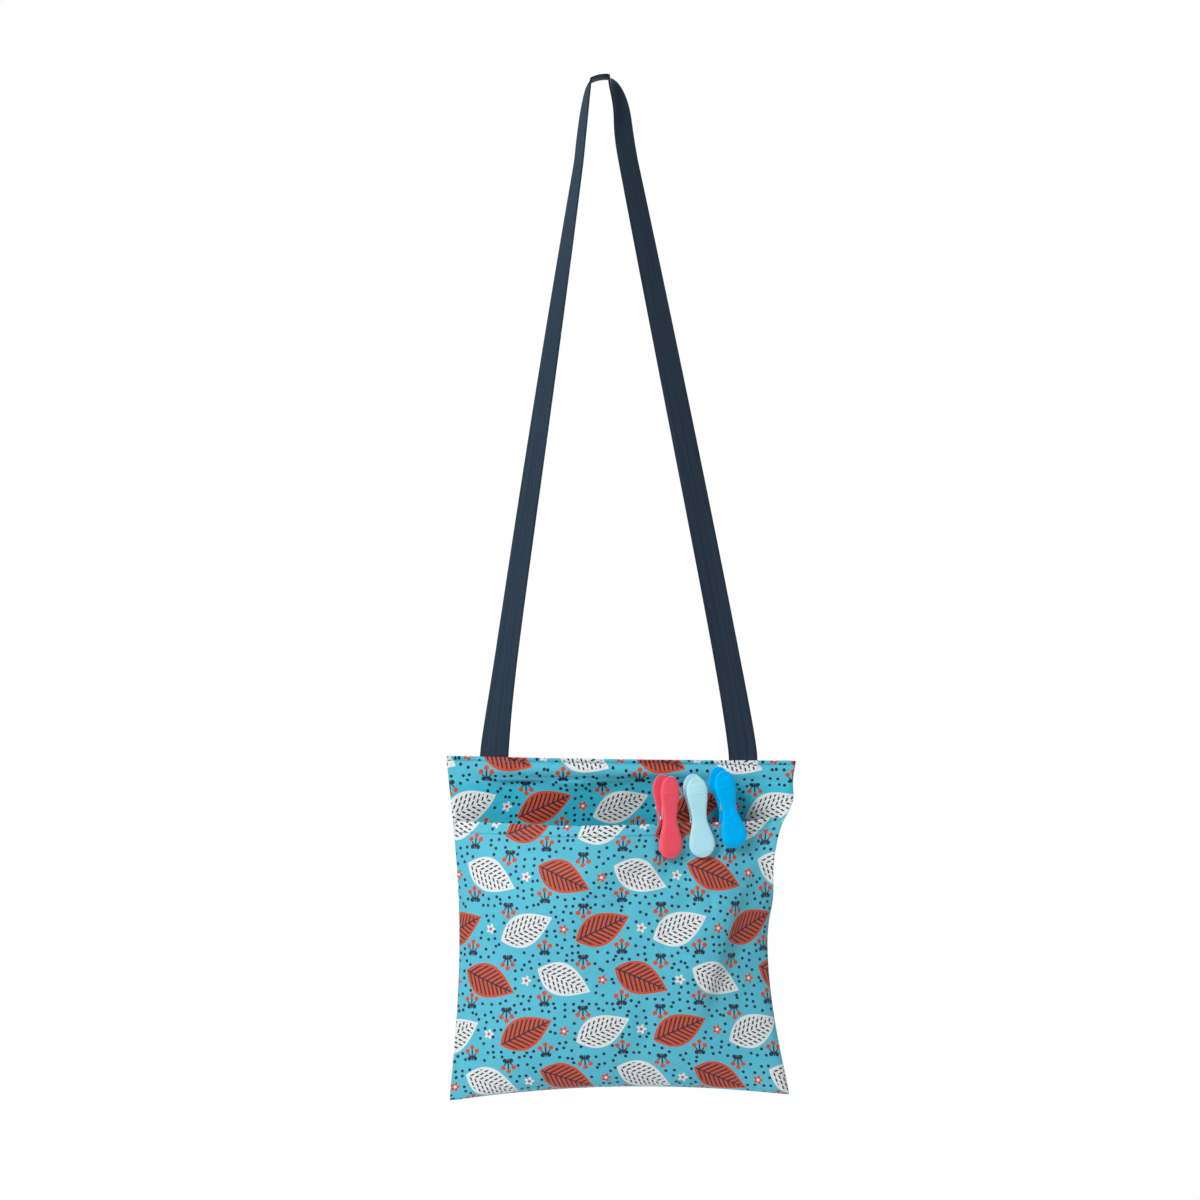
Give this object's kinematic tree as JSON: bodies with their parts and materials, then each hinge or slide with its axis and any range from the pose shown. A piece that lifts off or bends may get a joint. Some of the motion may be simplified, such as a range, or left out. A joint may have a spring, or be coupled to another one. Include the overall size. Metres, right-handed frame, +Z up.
{
  "type": "hanging peg bag",
  "caption": "Square printed cloth pocket with an open front mouth, hung on a long twisted strap, with spring clothes pegs clipped to the hemmed mouth.",
  "frame": {"origin": "centre of the underside of the strap's crown, where a hook or a line carries the bag", "axes": "+Z up along the hanging direction, +X to the right seen from the front, front face towards -Y"},
  "size_m": [0.3, 0.0787, 0.8791],
  "materials": {
    "printed_cloth": "plain-weave printed cotton, matt",
    "strap": "navy woven strap, matt",
    "thread": "spun sewing thread",
    "red_plastic": "satin moulded plastic",
    "aqua_plastic": "satin moulded plastic",
    "blue_plastic": "satin moulded plastic",
    "spring_wire": "bright drawn wire"
  },
  "bodies": {
    "strap": {"strap_loop": "strap"},
    "bag": {"back_panel": "printed_cloth", "lining_panel": "printed_cloth", "pocket_panel": "printed_cloth", "strap_tail_left": "strap", "strap_tail_right": "strap", "mouth_hem_stitching": "thread", "top_edge_stitching": "thread", "left_seam_overlock": "thread", "right_seam_overlock": "thread", "bottom_seam_overlock": "thread"},
    "red_peg_rear": {"red_peg_rear_half": "red_plastic", "red_peg_spring": "spring_wire"},
    "red_peg_front": {"red_peg_front_half": "red_plastic"},
    "aqua_peg_rear": {"aqua_peg_rear_half": "aqua_plastic", "aqua_peg_spring": "spring_wire"},
    "aqua_peg_front": {"aqua_peg_front_half": "aqua_plastic"},
    "blue_peg_rear": {"blue_peg_rear_half": "blue_plastic", "blue_peg_spring": "spring_wire"},
    "blue_peg_front": {"blue_peg_front_half": "blue_plastic"}
  },
  "joints": [
    {"name": "bag_swing", "type": "hinge", "parent": "strap", "child": "bag", "pos_m": [0.0183, 0, -0.5395], "axis": [1, 0, 0], "range_deg": [-90, 90]},
    {"name": "red_peg_pull_off", "type": "slide", "parent": "bag", "child": "red_peg_rear", "axis": [-0.0392, -0.0727, 0.9966], "range_m": [0, 0.034]},
    {"name": "aqua_peg_pull_off", "type": "slide", "parent": "bag", "child": "aqua_peg_rear", "axis": [-0.1111, -0.1437, 0.9834], "range_m": [0, 0.034]},
    {"name": "blue_peg_pull_off", "type": "slide", "parent": "bag", "child": "blue_peg_rear", "axis": [-0.2005, -0.2555, 0.9458], "range_m": [0, 0.034]},
    {"name": "red_peg_jaws", "type": "hinge", "parent": "red_peg_rear", "child": "red_peg_front", "pos_m": [0.05708, -0.03713, -0.63152], "axis": [-0.8714, -0.4856, -0.0697], "range_deg": [0, 16], "stiffness_Nm_per_rad": 0.06, "springref_deg": -143.24, "deforming": ["red_peg_spring"]},
    {"name": "aqua_peg_jaws", "type": "hinge", "parent": "aqua_peg_rear", "child": "aqua_peg_front", "pos_m": [0.0837, -0.0273, -0.63162], "axis": [-0.9767, -0.167, -0.1347], "range_deg": [0, 16], "stiffness_Nm_per_rad": 0.06, "springref_deg": -143.24, "deforming": ["aqua_peg_spring"]},
    {"name": "blue_peg_jaws", "type": "hinge", "parent": "blue_peg_rear", "child": "blue_peg_front", "pos_m": [0.10873, -0.02343, -0.62479], "axis": [-0.9328, -0.2453, -0.2641], "range_deg": [0, 16], "stiffness_Nm_per_rad": 0.06, "springref_deg": -143.24, "deforming": ["blue_peg_spring"]}
  ]
}
